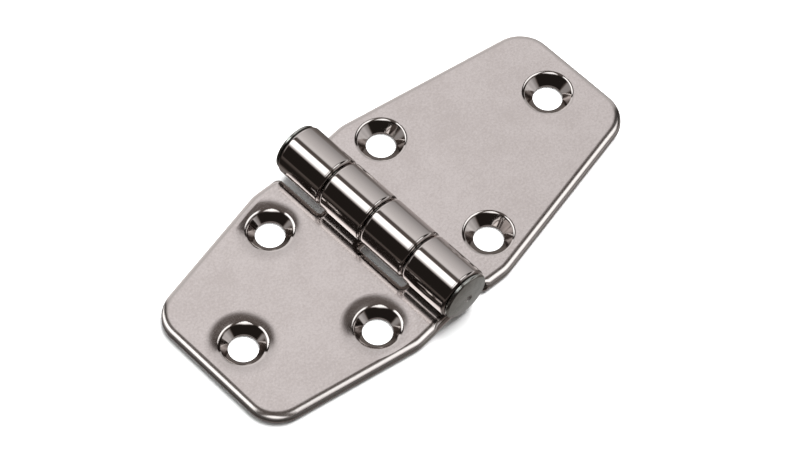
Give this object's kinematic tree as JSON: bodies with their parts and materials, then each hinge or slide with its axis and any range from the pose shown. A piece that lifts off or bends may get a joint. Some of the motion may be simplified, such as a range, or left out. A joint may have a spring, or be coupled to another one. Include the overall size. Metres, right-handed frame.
{
  "type": "butt hinge",
  "caption": "Flat butt hinge with tapered leaves of unequal length, rolled knuckles on a pin with domed heads, and countersunk screw holes.",
  "frame": {"origin": "on the plane of the leaves' backs, straight under the middle of the pin, with the hinge open flat", "axes": "+X from the pin towards the long leaf's end, +Y along the pin, +Z out of the countersunk faces, on the side where the barrel stands proud"},
  "size_m": [0.0808, 0.0394, 0.0097],
  "materials": {
    "leaf_steel": "polished, slightly satin on the flat faces",
    "pin_steel": "polished"
  },
  "bodies": {
    "short_side": {"short_leaf": "leaf_steel", "hinge_pin": "pin_steel"},
    "long_side": {"long_leaf": "leaf_steel"}
  },
  "joints": [
    {"name": "leaf_swing", "type": "hinge", "parent": "short_side", "child": "long_side", "pos_m": [0, 0, 0.0052], "axis": [0, -1, 0], "range_deg": [-77, 190]}
  ]
}
